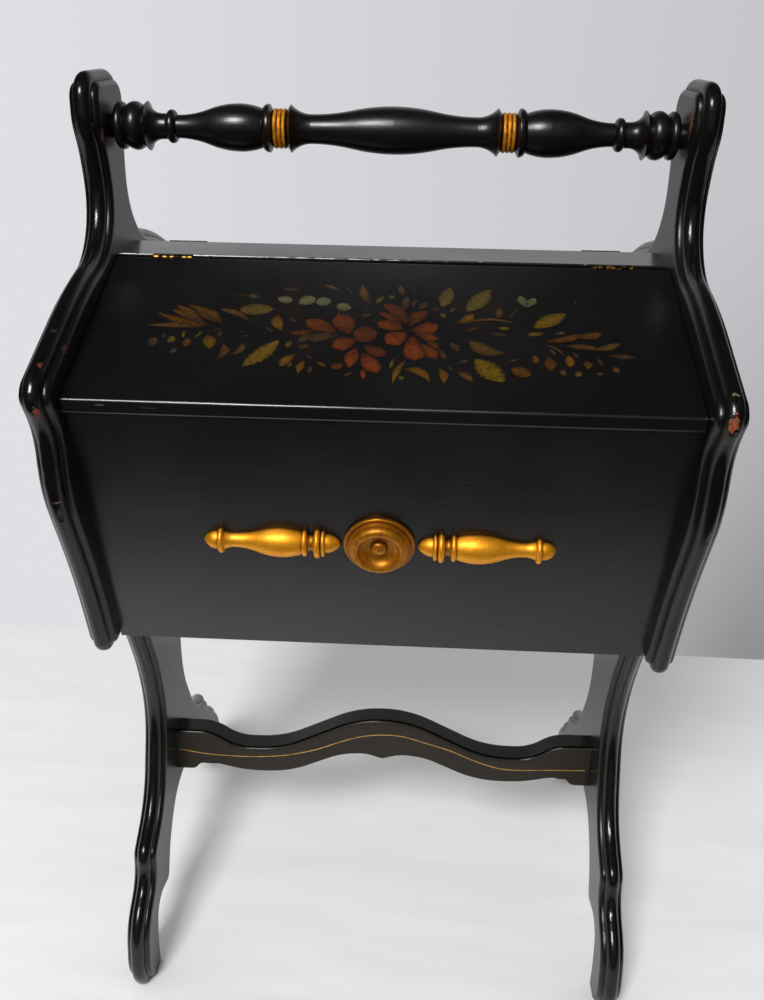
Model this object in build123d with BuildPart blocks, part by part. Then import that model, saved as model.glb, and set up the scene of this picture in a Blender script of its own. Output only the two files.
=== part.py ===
from build123d import *

import os
from math import cos, radians, sin, tan

# Sewing cabinet. Millimetres; X to the right, Y to the back, Z up, the floor at Z = 0
# and the origin midway between the feet. Front and back are the same in outline, so
# outlines are written once as a half: a distance out from the middle and a height.

# Main sizes
inner_width = 330.0         # between the end boards
board_thickness = 17.0
glue_depth = 10.0           # depth of each blind hole in an end board

# Edge moulding of the end boards: a bead with a rounded quirk on each side
bead_width = 10.0
bead_stand = 5.5            # the bead stands this far out of the quirks
crown_land = 0.2            # flat left along the bead's crown
quirk_land = 0.1            # flat left at the foot of a quirk

# Fixed top rail and the two lids
rail_half = 19.0
rail_thickness = 11.0
rail_top = 522.4
rail_round = 0.8
lid_slope = 21.8            # degrees below level
lid_thickness = 8.5
lid_gap = 3.0               # between the rail's edge and a lid's edge
lid_front = 139.3           # from the middle to the lid's front edge
nose_radius = 2.0           # on both arrises of the lid's plumb front edge
lid_ease = 0.8              # round on the lid's upper hinge edge, to pass the rail
lid_side_gap = 0.5
rest_gap = 0.3              # between a closed lid and the panel that it rests over

# Box below the lids
panel_thickness = 10.0
panel_slope = 13.3          # degrees from upright
panel_foot = 96.4          # from the middle to the panel's outer face at its bottom edge
box_bottom = 297.2
floor_thickness = 8.0
cleat_height = 8.4
cleat_width = 14.0

# End board outline, measured from the lids and panels that it frames
head_half = 27.1
head_rise = 99.6            # the top above the rail
head_drop = 28.4            # from the top down to the widest part of the head
neck_half = 20.2
neck_rise = 27.3            # the neck above the rail
shoulder_rise = 19.4        # outline above the lid's face
nose_stand = 16.7           # outline beyond the lid's front edge
wing_stand = 14.6           # outline beyond the panel's face
wing_tip_drop = 7.1         # the wing's tip below the box
waist_half = 32.7
waist_height = 175.9
knee_half = 95.2
knee_height = 97.0
toe_half = 138.5
toe_height = 16.5
arch_half = 66.4
arch_height = 95.4
heel_half = 106.5

# Turned carrying rail
handle_drop = 29.6          # from the head's top down to the axis
handle_radius = 13.2
tenon_radius = 7.0
fit_gap = 0.3

# Stretcher
stretcher_thickness = 18.0
stretcher_end_top = 142.3
stretcher_end_bottom = 104.0
stretcher_crest = 160.9
stretcher_dip = 128.0
stretcher_underside = 105.0
stretcher_round = 3.0
dowel_radius = 4.0
dowel_spacing = 18.0

# Gilt ornament on the front panel
ornament_height = 382.6
rosette_radius = 20.4
rosette_flange = 2.4
spindle_start = 21.6
spindle_end = 100.6
spindle_radius = 9.6

# Butt hinges
hinge_inset = 34.0          # from an end board to the middle of the nearest hinge
hinge_length = 24.0
leaf_thickness = 1.0
leaf_height = 6.2
leaf_drop = 1.8             # from the pin's axis down to the leaf's top edge
gain_gap = 0.1              # round a leaf in its recess
barrel_radius = 1.7
pin_radius = 0.8
pin_clearance = 0.05
pin_rise = -1.6             # the pin's axis above the rail's face, so below it here
knuckle_gap = 0.3
screw_radius = 0.9
screw_head_radius = 1.7
screw_length = 6.0
screw_spacing = 14.0

outer_face = inner_width / 2 + board_thickness
quirk_width = (board_thickness - bead_width) / 2
hinge_offset = inner_width / 2 - hinge_inset
slope = radians(lid_slope)
board_height = rail_top + head_rise
neck_height = rail_top + neck_rise
handle_height = board_height - handle_drop
lean = radians(panel_slope)
pin_out = rail_half + lid_gap / 2
pin_height = rail_top + pin_rise


def lid_face(out):
    """Height of the lid's upper face at a distance out from the middle."""
    return rail_top - (out - rail_half) * tan(slope)


def panel_face(height):
    """Distance from the middle to the panel's outer face at a height."""
    return panel_foot + (height - box_bottom) * tan(lean)


lid_nose_height = lid_face(lid_front)


def soft_radii(points, softness):
    """Radius at each corner of a closed outline, as large as its two runs allow."""
    radii = []
    for i in range(len(points)):
        before = Vector(*points[i - 1])
        here = Vector(*points[i])
        after = Vector(*points[(i + 1) % len(points)])
        run = min((here - before).length, (after - here).length) / 2
        turn = radians((here - before).get_angle(after - here))
        radii.append(softness[i] * run / tan(turn / 2))
    return radii


def mirrored(half):
    """A closed outline from its half, given from the top down, and each corner's softness."""
    whole = [(-out, height, soft) for out, height, soft in reversed(half)] + half
    points = [(out, height) for out, height, soft in whole]
    return points, soft_radii(points, [soft for out, height, soft in whole])


def inset(points, radii, amount):
    """The outline moved in: its convex corners get tighter and its hollow ones wider."""
    moved = []
    moved_radii = []
    for i in range(len(points)):
        here = Vector(*points[i])
        along = (here - Vector(*points[i - 1])).normalized()
        onward = (Vector(*points[(i + 1) % len(points)]) - here).normalized()
        inward = Vector(along.Y, -along.X)
        inward_next = Vector(onward.Y, -onward.X)
        corner = here + (inward + inward_next) * (amount / (1 + inward.dot(inward_next)))
        hollow = along.X * onward.Y - along.Y * onward.X > 0
        moved.append((corner.X, corner.Y))
        moved_radii.append(radii[i] + (amount if hollow else -amount))
    return moved, moved_radii


# Outline of an end board along the crown of its bead, from the head to below the foot
full = 0.97
tip = box_bottom - wing_tip_drop
throat = neck_height + 0.66 * (board_height - head_drop - neck_height)
board_half = [
    (head_half, board_height, full),
    (head_half + 3.4, board_height - head_drop, full),
    (neck_half + 3.6, throat, full),
    (neck_half, neck_height, full),
    (neck_half + 18.4, lid_face(neck_half + 18.4) + shoulder_rise - 7.2, full),
    (neck_half + 59, lid_face(neck_half + 59) + shoulder_rise, full),
    (lid_front + nose_stand - 6.4, lid_nose_height + shoulder_rise - 5.4, full),
    (lid_front + nose_stand, lid_nose_height + 1.8, full),
    (panel_face(lid_nose_height - 20) + wing_stand - 3.3, lid_nose_height - 20, full),
    (panel_face(lid_nose_height - 55) + wing_stand + 8.1, lid_nose_height - 55, full),
    (panel_face(box_bottom + 55) + wing_stand + 0.2, box_bottom + 55, full),
    (panel_foot + wing_stand - 0.1, tip, full),
    (panel_foot - 7, tip + 3.2, 0.6),
    (panel_foot - 34.3, tip - 6.6, full),
    (waist_half + 5.1, waist_height + 43.7, full),
    (waist_half, waist_height, full),
    (waist_half + 26, knee_height + 20, full),
    (knee_half, knee_height, 0.7),
    (knee_half + 3.5, knee_height - 22, full),
    (toe_half - 10.3, toe_height + 41, full),
    (toe_half, toe_height, full),
    (toe_half - 13, toe_height - 23, full),
    (knee_half - 10, -60, full),
]

# Space between the feet, from its crown down to below the floor
arch = [
    (arch_half - 40.5, arch_height, full),
    (arch_half - 12.8, arch_height - 25, full),
    (arch_half, arch_height - 51, 0.25),
    (heel_half - 10, arch_height - 42.4, full),
    (heel_half, arch_height - 72.5, full),
    (heel_half + 2, -20, full),
    (heel_half + 2, -80, full),
]

board_points, board_radii = mirrored(board_half)
flank_points, flank_radii = inset(board_points, board_radii, bead_stand)
arch_points, arch_radii = mirrored(arch)


def dowel_heights():
    """Heights of the two dowels in each end of the stretcher."""
    middle = (stretcher_end_top + stretcher_end_bottom) / 2
    return [middle - dowel_spacing / 2, middle + dowel_spacing / 2]


# End boards: three layers of one outline, the middle one fully rounded as the bead
with BuildPart() as left_end:
    with BuildSketch(Plane.YZ.offset(-outer_face + quirk_width)):
        with BuildLine():
            FilletPolyline(*board_points, radius=board_radii, close=True)
        make_face()
    extrude(amount=bead_width)
    fillet(left_end.edges().filter_by(lambda edge: abs(edge.tangent_at(0).X) < 0.5),
           radius=(bead_width - crown_land) / 2)
    for start, way in ((-outer_face + quirk_width, -1), (-outer_face + quirk_width + bead_width, 1)):
        with BuildSketch(Plane.YZ.offset(start)):
            with BuildLine():
                FilletPolyline(*flank_points, radius=flank_radii, close=True)
            make_face()
        extrude(amount=way * quirk_width)
        face = left_end.faces().sort_by(Axis.X)[-1 if way > 0 else 0]
        fillet(face.edges(), radius=quirk_width - quirk_land)
    with BuildSketch(Plane.YZ.offset(-outer_face)):
        with BuildLine():
            FilletPolyline(*arch_points, radius=arch_radii, close=True)
        make_face()
        with Locations((0, -100)):
            Rectangle(4 * toe_half, 200)
    extrude(amount=board_thickness, mode=Mode.SUBTRACT)
    with BuildSketch(Plane.YZ.offset(-inner_width / 2)):
        with Locations((0, handle_height)):
            Circle(tenon_radius)
        with Locations(*[(0, height) for height in dowel_heights()]):
            Circle(dowel_radius)
    extrude(amount=-glue_depth, mode=Mode.SUBTRACT)

with BuildPart() as right_end:
    mirror(left_end.part, about=Plane.YZ)

# Box: sloping panels, the floor between them and the cleats that carry it
floor_top = box_bottom + cleat_height + floor_thickness
panel_inner = panel_thickness / cos(lean)


def under_lid(out):
    """Height of a panel's top edge, which follows the lid's underside."""
    return lid_face(out) - (lid_thickness + rest_gap) / cos(slope)


def meet_lid(offset_in):
    """Where a face of the panel, set in by offset_in, meets the lid's underside."""
    rise = tan(lean)
    fall = tan(slope)
    height = (under_lid(0) - fall * (panel_foot - offset_in - box_bottom * rise)) / (1 + fall * rise)
    return panel_face(height) - offset_in, height


with BuildPart() as front_panel:
    with BuildSketch(Plane.YZ.offset(-inner_width / 2)):
        outer_top = meet_lid(0)
        inner_top = meet_lid(panel_inner)
        with BuildLine():
            Polyline((-panel_foot, box_bottom), (-outer_top[0], outer_top[1]),
                     (-inner_top[0], inner_top[1]), (-panel_foot + panel_inner, box_bottom),
                     close=True)
        make_face()
    extrude(amount=inner_width)

with BuildPart() as back_panel:
    mirror(front_panel.part, about=Plane.XZ)

with BuildPart() as bottom_board:
    with BuildSketch(Plane.YZ.offset(-inner_width / 2)):
        low = panel_face(box_bottom + cleat_height) - panel_inner
        high = panel_face(floor_top) - panel_inner
        with BuildLine():
            Polyline((-low, box_bottom + cleat_height), (low, box_bottom + cleat_height),
                     (high, floor_top), (-high, floor_top), close=True)
        make_face()
    extrude(amount=inner_width)

with BuildPart() as left_cleat:
    with BuildSketch(Plane.XY.offset(box_bottom)):
        with Locations((-inner_width / 2 + cleat_width / 2, 0)):
            Rectangle(cleat_width, 2 * (panel_foot - panel_inner))
    extrude(amount=cleat_height)

with BuildPart() as right_cleat:
    mirror(left_cleat.part, about=Plane.YZ)

# Hinges: each leaf is let flush into the wood
leaf_middle = pin_height - leaf_drop - leaf_height / 2
leaf_face = lid_gap / 2
knuckle = (hinge_length - 2 * knuckle_gap) / 3
hinge_places = (-hinge_offset, hinge_offset)
screw_sides = (-screw_spacing / 2, screw_spacing / 2)


def cut_gains(face_at, way):
    """Let the leaves and their screws into the edge at Y = face_at; way points into the wood."""
    with BuildSketch(Plane.XZ.offset(-face_at)) as gains:
        with Locations(*[(place, pin_height) for place in hinge_places]):
            Rectangle(hinge_length + 2 * gain_gap, 2 * (leaf_drop + leaf_height + gain_gap))
    extrude(gains.sketch, amount=-way * leaf_thickness, mode=Mode.SUBTRACT)
    with BuildSketch(Plane.XZ.offset(-face_at)) as holes:
        with Locations(*[(place + side, leaf_middle) for place in hinge_places for side in screw_sides]):
            Circle(screw_radius)
    extrude(holes.sketch, amount=-way * (leaf_thickness + screw_length), mode=Mode.SUBTRACT)


with BuildPart() as top_rail:
    with BuildSketch(Plane.YZ.offset(-inner_width / 2)):
        with Locations((0, rail_top - rail_thickness / 2)):
            RectangleRounded(2 * rail_half, rail_thickness, rail_round)
    extrude(amount=inner_width)
    cut_gains(-rail_half, 1)
    cut_gains(rail_half, -1)

with BuildPart() as front_lid:
    with BuildSketch(Plane.YZ.offset(-inner_width / 2 + lid_side_gap)) as lid_section:
        rear = rail_half + lid_gap
        with BuildLine():
            Polyline((-rear, lid_face(rear)),
                     (-lid_front, lid_nose_height),
                     (-lid_front, lid_nose_height - lid_thickness / cos(slope)),
                     (-rear, lid_face(rear) - lid_thickness / cos(slope)), close=True)
        make_face()
        fillet(lid_section.vertices().sort_by(Axis.X)[:2], radius=nose_radius)
        fillet(lid_section.vertices().sort_by(Axis.X)[-2:].sort_by(Axis.Y)[-1:], radius=lid_ease)
    extrude(amount=inner_width - 2 * lid_side_gap)
    cut_gains(-rear, -1)

with BuildPart() as back_lid:
    mirror(front_lid.part, about=Plane.XZ)


def make_leaf(way, spans, bore):
    """One leaf and its knuckles, at X = 0 on the front; way is 1 at the rail and -1 at the lid."""
    face = Plane.XZ.offset(pin_out - way * leaf_face)
    with BuildPart() as piece:
        with BuildSketch(face):
            with Locations((0, leaf_middle)):
                Rectangle(hinge_length, leaf_height)
            for middle, length in spans:
                with Locations((middle, pin_height - leaf_drop)):
                    Rectangle(length, 2 * leaf_drop)
        extrude(amount=-way * leaf_thickness)
        for middle, length in spans:
            with BuildSketch(Plane.YZ.offset(middle - length / 2)):
                with Locations((-pin_out, pin_height)):
                    Circle(barrel_radius)
            extrude(amount=length)
        with BuildSketch(Plane.YZ.offset(-hinge_length)):
            with Locations((-pin_out, pin_height)):
                Circle(bore)
        extrude(amount=2 * hinge_length, mode=Mode.SUBTRACT)
        for side in screw_sides:
            with BuildSketch(face):
                with Locations((side, leaf_middle)):
                    Circle(screw_head_radius)
            with BuildSketch(face.offset(-way * leaf_thickness)):
                with Locations((side, leaf_middle)):
                    Circle(screw_radius)
            loft(mode=Mode.SUBTRACT)
    return piece.part


outer_middle = (hinge_length - knuckle) / 2
rail_leaf = make_leaf(1, [(-outer_middle, knuckle), (outer_middle, knuckle)], pin_radius)
lid_leaf = make_leaf(-1, [(0, knuckle)], pin_radius + pin_clearance)


def make_screw(way):
    """A countersunk screw at X = 0, its head in the leaf; way points from head to tip."""
    face = Plane.XZ.offset(pin_out - way * leaf_face)
    with BuildPart() as piece:
        with BuildSketch(face):
            with Locations((0, leaf_middle)):
                Circle(screw_head_radius)
        with BuildSketch(face.offset(-way * leaf_thickness)):
            with Locations((0, leaf_middle)):
                Circle(screw_radius)
        loft()
        with BuildSketch(face.offset(-way * leaf_thickness)):
            with Locations((0, leaf_middle)):
                Circle(screw_radius)
        extrude(amount=-way * screw_length)
    return piece.part


rail_screw = make_screw(1)
lid_screw = make_screw(-1)

with BuildPart() as pin:
    with BuildSketch(Plane.YZ.offset(-hinge_length / 2)):
        with Locations((-pin_out, pin_height)):
            Circle(pin_radius)
    extrude(amount=hinge_length)

with BuildPart() as front_lid_screws:
    with Locations(*[(place + side, 0, 0) for place in hinge_places for side in screw_sides]):
        add(lid_screw)

with BuildPart() as back_lid_screws:
    mirror(front_lid_screws.part, about=Plane.XZ)

with BuildPart() as rail_screws:
    with Locations(*[(place + side, 0, 0) for place in hinge_places for side in screw_sides]):
        add(rail_screw)
    mirror(about=Plane.XZ)


def stretch(start, end, how):
    """One stretch of a turned profile, between two points (along, radius)."""
    middle = ((start[0] + end[0]) / 2, (start[1] + end[1]) / 2)
    if how == "line":
        Line(start, end)
    elif how == "ogee":
        TangentArc(start, middle, tangent=(1, 0))
        TangentArc(end, middle, tangent=(-1, 0))
    elif how == "leave":
        TangentArc(start, end, tangent=(1, 0))
    elif how == "reach":
        TangentArc(end, start, tangent=(-1, 0))
    else:
        ThreePointArc(start, (middle[0], middle[1] + how), end)


def turning(stations):
    """Closed profile of a turning: each station is (along, radius, how it is reached)."""
    for before, here in zip(stations, stations[1:]):
        stretch(before[:2], here[:2], here[2])
    Polyline(stations[-1][:2], (stations[-1][0], 0), (stations[0][0], 0), stations[0][:2])


# Turned carrying rail, from its middle to the end of one tenon
big = handle_radius
end_turning = inner_width / 2
handle_stations = [
    (0, big - 0.1, None),
    (48, 8.1, "ogee"),
    (end_turning - 105.2, big, "leave"),
    (end_turning - 102.8, 9.9, "line"),
    (end_turning - 100.2, 9.9, 1.1),
    (end_turning - 97.6, 9.9, 1.1),
    (end_turning - 95.0, 9.9, 1.1),
    (end_turning - 94.2, 10.9, "line"),
    (end_turning - 92.9, big, "line"),
    (end_turning - 88.7, 10.8, 1.0),
    (end_turning - 75.5, big, "reach"),
    (end_turning - 38.5, 6.4, "ogee"),
    (end_turning - 37.9, 7.2, "line"),
    (end_turning - 32.6, 7.2, 2.1),
    (end_turning - 32.0, 7.1, "line"),
    (end_turning - 29.5, 7.1, "line"),
    (end_turning - 21.4, big + 0.3, "leave"),
    (end_turning - 18.6, 11.0, "line"),
    (end_turning - 9.0, 11.0, 2.4),
    (end_turning - 8.4, 10.6, "line"),
    (end_turning - 2.6, 10.6, 2.6),
    (end_turning - 2.6, tenon_radius, "line"),
    (end_turning + glue_depth - fit_gap, tenon_radius, "line"),
]

with BuildPart() as handle_rail:
    with BuildSketch(Plane(origin=(0, 0, handle_height), x_dir=(1, 0, 0), z_dir=(0, -1, 0))):
        with BuildLine():
            turning(handle_stations)
        make_face()
    revolve(axis=Axis((0, 0, handle_height), (1, 0, 0)))
    mirror(about=Plane.YZ)

# Serpentine stretcher with a small point under its middle, rounded along its top
half_width = inner_width / 2
stretcher_half = [
    (20, stretcher_crest, full),
    (81.6, stretcher_dip, full),
    (117.5, stretcher_dip - 0.5, full),
    (136.4, stretcher_end_top, full),
    (half_width, stretcher_end_top, 0),
    (half_width, stretcher_end_bottom, 0),
    (half_width - 13, stretcher_end_bottom, full),
    (half_width - 17, stretcher_underside + 5.2, full),
    (half_width - 29, stretcher_underside + 6.2, full),
    (111.6, stretcher_underside - 0.4, full),
    (75.6, stretcher_underside, full),
    (33.8, stretcher_crest - 35, full),
    (14, stretcher_crest - 33, full),
    (1.2, stretcher_crest - 37.4, 0),
]
stretcher_points, stretcher_radii = mirrored(stretcher_half)

with BuildPart() as stretcher:
    with BuildSketch(Plane.XZ.offset(-stretcher_thickness / 2)):
        with BuildLine():
            FilletPolyline(*stretcher_points, radius=stretcher_radii, close=True)
        make_face()
    extrude(amount=stretcher_thickness)
    upper = stretcher.faces().filter_by(lambda face: face.normal_at().Z > 0.5)
    fillet(upper.edges().filter_by(lambda edge: abs((edge @ 0).Y - (edge @ 1).Y) < 0.1),
           radius=stretcher_round)
    for side in (-1, 1):
        with BuildSketch(Plane.YZ.offset(side * half_width)):
            with Locations(*[(0, height) for height in dowel_heights()]):
                Circle(dowel_radius)
        extrude(amount=-side * glue_depth, mode=Mode.SUBTRACT)

with BuildPart() as stretcher_dowels:
    for side in (-1, 1):
        with BuildSketch(Plane.YZ.offset(side * half_width - glue_depth + fit_gap)):
            with Locations(*[(0, height) for height in dowel_heights()]):
                Circle(dowel_radius)
        extrude(amount=2 * (glue_depth - fit_gap))

# Gilt ornament: a turned rosette and a split turning on each side of it
seat = (0, -panel_face(ornament_height), ornament_height)
seat_plane = Plane(origin=seat, x_dir=(1, 0, 0), z_dir=(0, -cos(lean), -sin(lean)))
flange = rosette_flange
rim = rosette_radius

with BuildPart() as upright_rosette:
    with BuildSketch(Plane.XZ):
        with BuildLine():
            Polyline((0, 0), (rim, 0), (rim, flange - 0.6))
            ThreePointArc((rim, flange - 0.6), (rim - 0.25, flange - 0.2), (rim - 0.8, flange))
            Polyline((rim - 0.8, flange), (rim - 2.2, flange), (rim - 2.5, flange + 1.9))
            Line((rim - 2.5, flange + 1.9), (rim - 3.5, flange + 2.3))
            ThreePointArc((rim - 3.5, flange + 2.3), (rim - 5.3, flange + 5.6), (rim - 8.2, flange + 5.4))
            ThreePointArc((rim - 8.2, flange + 5.4), (rim - 9.9, flange + 2.0), (rim - 13.2, flange + 0.5))
            Polyline((rim - 13.2, flange + 0.5), (rim - 15.6, flange + 0.3), (rim - 15.9, flange + 1.5))
            ThreePointArc((rim - 15.9, flange + 1.5), (rim - 16.43, flange + 2.77), (rim - 17.7, flange + 3.3))
            Polyline((rim - 17.7, flange + 3.3), (0, flange + 4.1), (0, 0))
        make_face()
    revolve(axis=Axis.Z)

rosette = seat_plane.location * upright_rosette.part

wide = spindle_radius
spindle_stations = [
    (spindle_start, 0.8, None),
    (spindle_start + 9.0, wide - 3.2, 1.6),
    (spindle_start + 9.3, wide - 1.9, "line"),
    (spindle_start + 11.6, wide - 1.9, 0.9),
    (spindle_start + 12.0, wide - 1.3, "line"),
    (spindle_start + 15.4, wide - 1.3, 1.3),
    (spindle_start + 15.8, wide - 3.8, "line"),
    (spindle_start + 19.0, wide - 3.8, -0.6),
    (spindle_start + 19.4, wide - 2.2, "line"),
    (spindle_start + 22.4, wide - 2.2, 1.3),
    (spindle_start + 22.8, wide - 2.0, "line"),
    (spindle_start + 34.5, wide, "reach"),
    (spindle_end - 17.5, wide - 4.9, "ogee"),
    (spindle_end - 12.0, wide - 3.5, "leave"),
    (spindle_end - 11.6, wide - 2.3, "line"),
    (spindle_end - 8.6, wide - 2.3, 1.0),
    (spindle_end - 8.2, wide - 3.6, "line"),
    (spindle_end, 0.8, 1.9),
]

with BuildPart() as right_spindle:
    with BuildSketch(seat_plane):
        with BuildLine():
            turning(spindle_stations)
        make_face()
    revolve(axis=Axis(seat, (1, 0, 0)), revolution_arc=180)

with BuildPart() as left_spindle:
    mirror(right_spindle.part, about=Plane.YZ)

pieces = {
    "left_end": left_end.part,
    "right_end": right_end.part,
    "front_panel": front_panel.part,
    "back_panel": back_panel.part,
    "bottom_board": bottom_board.part,
    "left_cleat": left_cleat.part,
    "right_cleat": right_cleat.part,
    "top_rail": top_rail.part,
    "front_lid": front_lid.part,
    "back_lid": back_lid.part,
    "handle_rail": handle_rail.part,
    "stretcher": stretcher.part,
    "stretcher_dowels": stretcher_dowels.part,
    "rosette": rosette,
    "left_spindle": left_spindle.part,
    "right_spindle": right_spindle.part,
    "rail_hinge_screws": rail_screws.part,
    "front_lid_hinge_screws": front_lid_screws.part,
    "back_lid_hinge_screws": back_lid_screws.part,
}

# Four hinges from one: two on the front, and the same two turned round for the back
for side, place in (("left", -hinge_offset), ("right", hinge_offset)):
    for name, solid in (("rail_leaf", rail_leaf), ("lid_leaf", lid_leaf), ("hinge_pin", pin.part)):
        front_piece = Pos(place, 0, 0) * solid
        pieces[f"front_{side}_{name}"] = front_piece
        pieces[f"back_{side}_{name}"] = mirror(front_piece, about=Plane.XZ)

os.makedirs("parts", exist_ok=True)
for name, solid in pieces.items():
    solid.label = name
    export_step(solid, f"parts/{name}.step")
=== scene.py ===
from math import cos, hypot, pi, radians, sin

import bpy
from mathutils import Matrix, Vector


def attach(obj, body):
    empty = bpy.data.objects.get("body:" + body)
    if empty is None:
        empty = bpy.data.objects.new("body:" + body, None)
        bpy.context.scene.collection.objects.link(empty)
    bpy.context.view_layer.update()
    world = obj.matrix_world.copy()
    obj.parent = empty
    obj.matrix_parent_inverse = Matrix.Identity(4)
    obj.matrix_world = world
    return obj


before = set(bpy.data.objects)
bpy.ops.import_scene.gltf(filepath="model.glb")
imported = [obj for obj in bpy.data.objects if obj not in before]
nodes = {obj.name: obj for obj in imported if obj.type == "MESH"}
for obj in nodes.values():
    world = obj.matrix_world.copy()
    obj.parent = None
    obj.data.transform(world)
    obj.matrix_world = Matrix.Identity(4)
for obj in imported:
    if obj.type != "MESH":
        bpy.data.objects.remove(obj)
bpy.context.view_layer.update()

scene = bpy.context.scene
scene.view_settings.view_transform = "Standard"
mm = 0.001


def linear(code):  # sRGB hex to a linear colour
    parts = [int(code[i:i + 2], 16) / 255 for i in (1, 3, 5)]
    return [p / 12.92 if p <= 0.04045 else ((p + 0.055) / 1.055) ** 2.4 for p in parts] + [1]


def addNode(tree, kind, links=None, **settings):  # links: socket name or number to a value or a socket
    node = tree.nodes.new(kind)
    for name, value in settings.items():
        setattr(node, name, value)
    for name, value in (links or {}).items():
        if isinstance(value, bpy.types.NodeSocket):
            tree.links.new(value, node.inputs[name])
        else:
            node.inputs[name].default_value = value
    return node


def startMaterial(name, **sockets):  # a Principled shader and the object's own coordinates, in metres
    material = bpy.data.materials.new(name)
    material.use_nodes = True
    tree = material.node_tree
    shader = tree.nodes["Principled BSDF"]
    for socket, value in sockets.items():
        shader.inputs[socket.replace("_", " ")].default_value = value
    place = addNode(tree, "ShaderNodeTexCoord").outputs["Object"]
    return material, tree, shader, place


def blendColour(tree, amount, low, high):  # low and high: a hex code or a socket
    mix = addNode(tree, "ShaderNodeMix", {"Factor": amount}, data_type="RGBA")
    for socket, value in ((mix.inputs[6], low), (mix.inputs[7], high)):
        if isinstance(value, bpy.types.NodeSocket):
            tree.links.new(value, socket)
        else:
            socket.default_value = linear(value)
    return mix.outputs[2]


def rampTo(tree, value, start, end, low=0.0, high=1.0):
    return addNode(tree, "ShaderNodeMapRange", {0: value, 1: start, 2: end, 3: low, 4: high}).outputs[0]


def calc(tree, operation, *values):
    return addNode(tree, "ShaderNodeMath", dict(enumerate(values)), operation=operation).outputs[0]


def axes(tree, vector):
    return addNode(tree, "ShaderNodeSeparateXYZ", {0: vector}).outputs


def outFrom(tree, value):  # distance from the middle, the same on both sides
    return calc(tree, "ABSOLUTE", value)


def noise(tree, vector, size, detail=3.0):  # size: the spots' width in mm
    scale = 1 / (size * mm)
    return addNode(tree, "ShaderNodeTexNoise", {"Vector": vector, "Scale": scale, "Detail": detail}).outputs[0]


def addBump(tree, shader, height, depth, strength=1.0):  # depth in mm
    bump = addNode(tree, "ShaderNodeBump", {"Height": height, "Distance": depth * mm, "Strength": strength})
    tree.links.new(bump.outputs[0], shader.inputs["Normal"])


def addObject(name, mesh):
    piece = bpy.data.objects.new(name, mesh)
    scene.collection.objects.link(piece)
    return piece


# Camera: fitted to the picture's own right angles; mm and radians
camera = {"x": 19.9, "y": -576.6, "z": 645.8, "yaw": -0.0408, "pitch": 0.4718, "roll": -0.0158,
          "lens": 33.34, "sensor": 36}


def makeCamera():
    yaw, pitch, roll = camera["yaw"], camera["pitch"], camera["roll"]
    forward = Vector((sin(yaw) * cos(pitch), cos(yaw) * cos(pitch), -sin(pitch)))
    level = Vector((cos(yaw), -sin(yaw), 0))
    down = forward.cross(level)
    right = cos(roll) * level + sin(roll) * down
    up = sin(roll) * level - cos(roll) * down
    data = bpy.data.cameras.new("photoCamera")
    data.sensor_width = camera["sensor"]
    data.lens = camera["lens"]
    body = addObject("photoCamera", data)
    place = Vector((camera["x"], camera["y"], camera["z"])) * mm
    turn = Matrix((right, up, -forward)).transposed()
    body.matrix_world = Matrix.Translation(place) @ turn.to_4x4()
    scene.camera = body


makeCamera()
print("camera ready")

# Stage: pale world, a wall that only shows from the front, and a white floor. Overhead, to the sides and past
# the floor's front end it darkens, for the lacquer's reflections alone. Pairs are where a change starts and
# ends: as a direction's X, Y or Z in the world, and in metres on the wall and the floor
worldForm = {"wall": "#c4c3c7", "behind": "#707073", "dark": "#242426", "fill": "#bababc",
             "overhead": (0.78, 0.89), "backward": (0.15, -0.3), "beside": (0.45, 0.75)}


def makeWorld():
    world = bpy.data.worlds.new("paleRoom")
    scene.world = world
    world.use_nodes = True
    tree = world.node_tree
    tree.nodes.clear()
    way = axes(tree, addNode(tree, "ShaderNodeTexCoord").outputs["Generated"])
    overhead = rampTo(tree, way["Z"], *worldForm["overhead"])
    behind = rampTo(tree, way["Y"], *worldForm["backward"])
    around = blendColour(tree, behind, worldForm["wall"], worldForm["behind"])
    beside = rampTo(tree, outFrom(tree, way["X"]), *worldForm["beside"])
    dim = calc(tree, "MAXIMUM", overhead, beside)
    mirrored = blendColour(tree, dim, around, worldForm["dark"])
    rays = addNode(tree, "ShaderNodeLightPath").outputs
    lit = blendColour(tree, rays["Is Glossy Ray"], worldForm["fill"], mirrored)
    colour = blendColour(tree, rays["Is Camera Ray"], lit, worldForm["wall"])
    glow = addNode(tree, "ShaderNodeBackground", {"Color": colour, "Strength": 1.0})
    addNode(tree, "ShaderNodeOutputWorld", {"Surface": glow.outputs[0]})


# from left to right the wall's colour carries painted light falloff; the low colour is a painted shadow in its lower
# right corner
wallForm = {"left": "#dfe0e4", "right": "#c4c3c7", "low": "#8f9092", "dark": "#242426",
            "line": 0.322, "turn": -0.0167, "reach": 8, "foot": -0.001, "top": 6,
            "across": (-0.36, 0.36),  # from the paler left colour to the darker right one: painted light falloff, paler towards the lamp
            "shadowAcross": (0.16, 0.40), "shadowHeight": (0.50, 0.02),  # the dark lower right corner: a painted shadow of the cabinet on the wall
            "sideways": 0.9, "above": (0.84, 1.14), "beside": (0.35, 0.8)}  # what the camera doesn't see


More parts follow.
